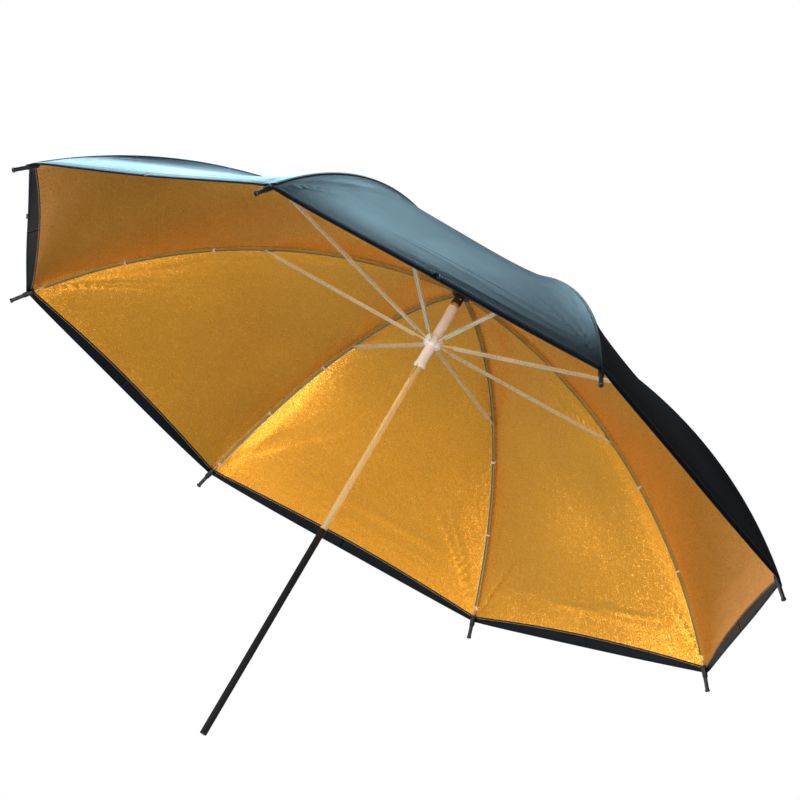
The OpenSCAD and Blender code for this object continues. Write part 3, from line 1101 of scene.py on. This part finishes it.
class UMBRELLA_OT_stage(bpy.types.Operator):
    """Pale floor, white surroundings and soft lights"""

    bl_idname = "umbrella.stage"
    bl_label = "Studio"

    def execute(self, context):
        s = context.scene.umbrella_stage
        context.scene.view_settings.view_transform = "Standard"
        floor_mesh = bpy.data.meshes.new("floor")
        floor_mesh.from_pydata(
            [
                (FLOOR_REACH * x, FLOOR_REACH * y, s.floor_height)
                for x, y in ((-1, -1), (1, -1), (1, 1), (-1, 1))
            ],
            [], [(0, 1, 2, 3)]
        )
        n = Nodes("pale_floor")
        n.set(Base_Color=(0.9, 0.9, 0.9), Roughness=0.8)
        clear = n.add("ShaderNodeBsdfTransparent")
        side = n.add("ShaderNodeNewGeometry")
        either = n.add("ShaderNodeMixShader")
        n.join(side, "Backfacing", either, "Fac")
        n.join(n.shader, "BSDF", either, 1)
        n.join(clear, "BSDF", either, 2)
        n.join(either, "Shader", n.out, "Surface")
        new_object("floor", floor_mesh, [n.material])

        world = bpy.data.worlds.new("studio")
        context.scene.world = world
        world.use_nodes = True
        tree = world.node_tree
        tree.nodes.clear()
        out = tree.nodes.new("ShaderNodeOutputWorld")
        seen, lit = tree.nodes.new("ShaderNodeBackground"), tree.nodes.new("ShaderNodeBackground")
        seen.inputs["Color"].default_value = (1, 1, 1, 1)
        lit.inputs["Color"].default_value = (0.96, 0.98, 1.0, 1)
        around = tree.nodes.new("ShaderNodeTexCoord")
        split = tree.nodes.new("ShaderNodeSeparateXYZ")
        fade = tree.nodes.new("ShaderNodeMapRange")
        for key, value in (("From Min", -0.05), ("From Max", 0.35), ("To Min", 1.1), ("To Max", 0.03)):
            fade.inputs[key].default_value = value
        tree.links.new(around.outputs["Generated"], split.inputs["Vector"])
        tree.links.new(split.outputs["Z"], fade.inputs["Value"])
        tree.links.new(fade.outputs["Result"], lit.inputs["Strength"])
        path, mix = tree.nodes.new("ShaderNodeLightPath"), tree.nodes.new("ShaderNodeMixShader")
        tree.links.new(path.outputs["Is Camera Ray"], mix.inputs["Fac"])
        tree.links.new(lit.outputs["Background"], mix.inputs[1])
        tree.links.new(seen.outputs["Background"], mix.inputs[2])
        tree.links.new(mix.outputs["Shader"], out.inputs["Surface"])

        centre = Vector(LIGHT_CENTRE)
        for name, toward, away, size, power, tint in LIGHTS:
            data = bpy.data.lights.new(name, "AREA")
            data.shape, data.size, data.energy, data.color = "DISK", size, power, tint
            lamp = bpy.data.objects.new(name, data)
            context.scene.collection.objects.link(lamp)
            lamp.location = centre + Vector(toward).normalized() * away
            lamp.rotation_euler = (lamp.location - centre).to_track_quat("Z", "Y").to_euler()
            lamp.visible_camera = False
        return {"FINISHED"}


class UMBRELLA_PT_panel(bpy.types.Panel):
    """Lists the steps of the build"""

    bl_label = "Umbrella reflector"
    bl_space_type = "VIEW_3D"
    bl_region_type = "UI"
    bl_category = "Umbrella"

    def draw(self, context):
        for operator in OPERATORS:
            self.layout.operator(operator.bl_idname)
        for group_name, _ in GROUPS:
            group = getattr(context.scene, group_name)
            for name in group.bl_rna.properties.keys():
                if name not in ("rna_type", "name"):
                    self.layout.prop(group, name)


OPERATORS = (
    UMBRELLA_OT_camera,
    UMBRELLA_OT_metalwork,
    UMBRELLA_OT_fabric,
    UMBRELLA_OT_seam_tape,
    UMBRELLA_OT_hem,
    UMBRELLA_OT_stitching,
    UMBRELLA_OT_ties,
    UMBRELLA_OT_corners,
    UMBRELLA_OT_strap,
    UMBRELLA_OT_stage,
)
GROUPS = (
    ("umbrella_fabric", FabricSettings),
    ("umbrella_thread", ThreadSettings),
    ("umbrella_finish", FinishSettings),
    ("umbrella_stage", StageSettings),
)


def register():
    for name, group in GROUPS:
        bpy.utils.register_class(group)
        setattr(bpy.types.Scene, name, bpy.props.PointerProperty(type=group))
    for c in (*OPERATORS, UMBRELLA_PT_panel):
        bpy.utils.register_class(c)


def unregister():
    for c in reversed((*OPERATORS, UMBRELLA_PT_panel)):
        bpy.utils.unregister_class(c)
    for name, group in reversed(GROUPS):
        delattr(bpy.types.Scene, name)
        bpy.utils.unregister_class(group)


def main():
    register()
    for operator in OPERATORS:
        area, step = operator.bl_idname.split(".")
        getattr(getattr(bpy.ops, area), step)()


if __name__ == "__main__":
    main()
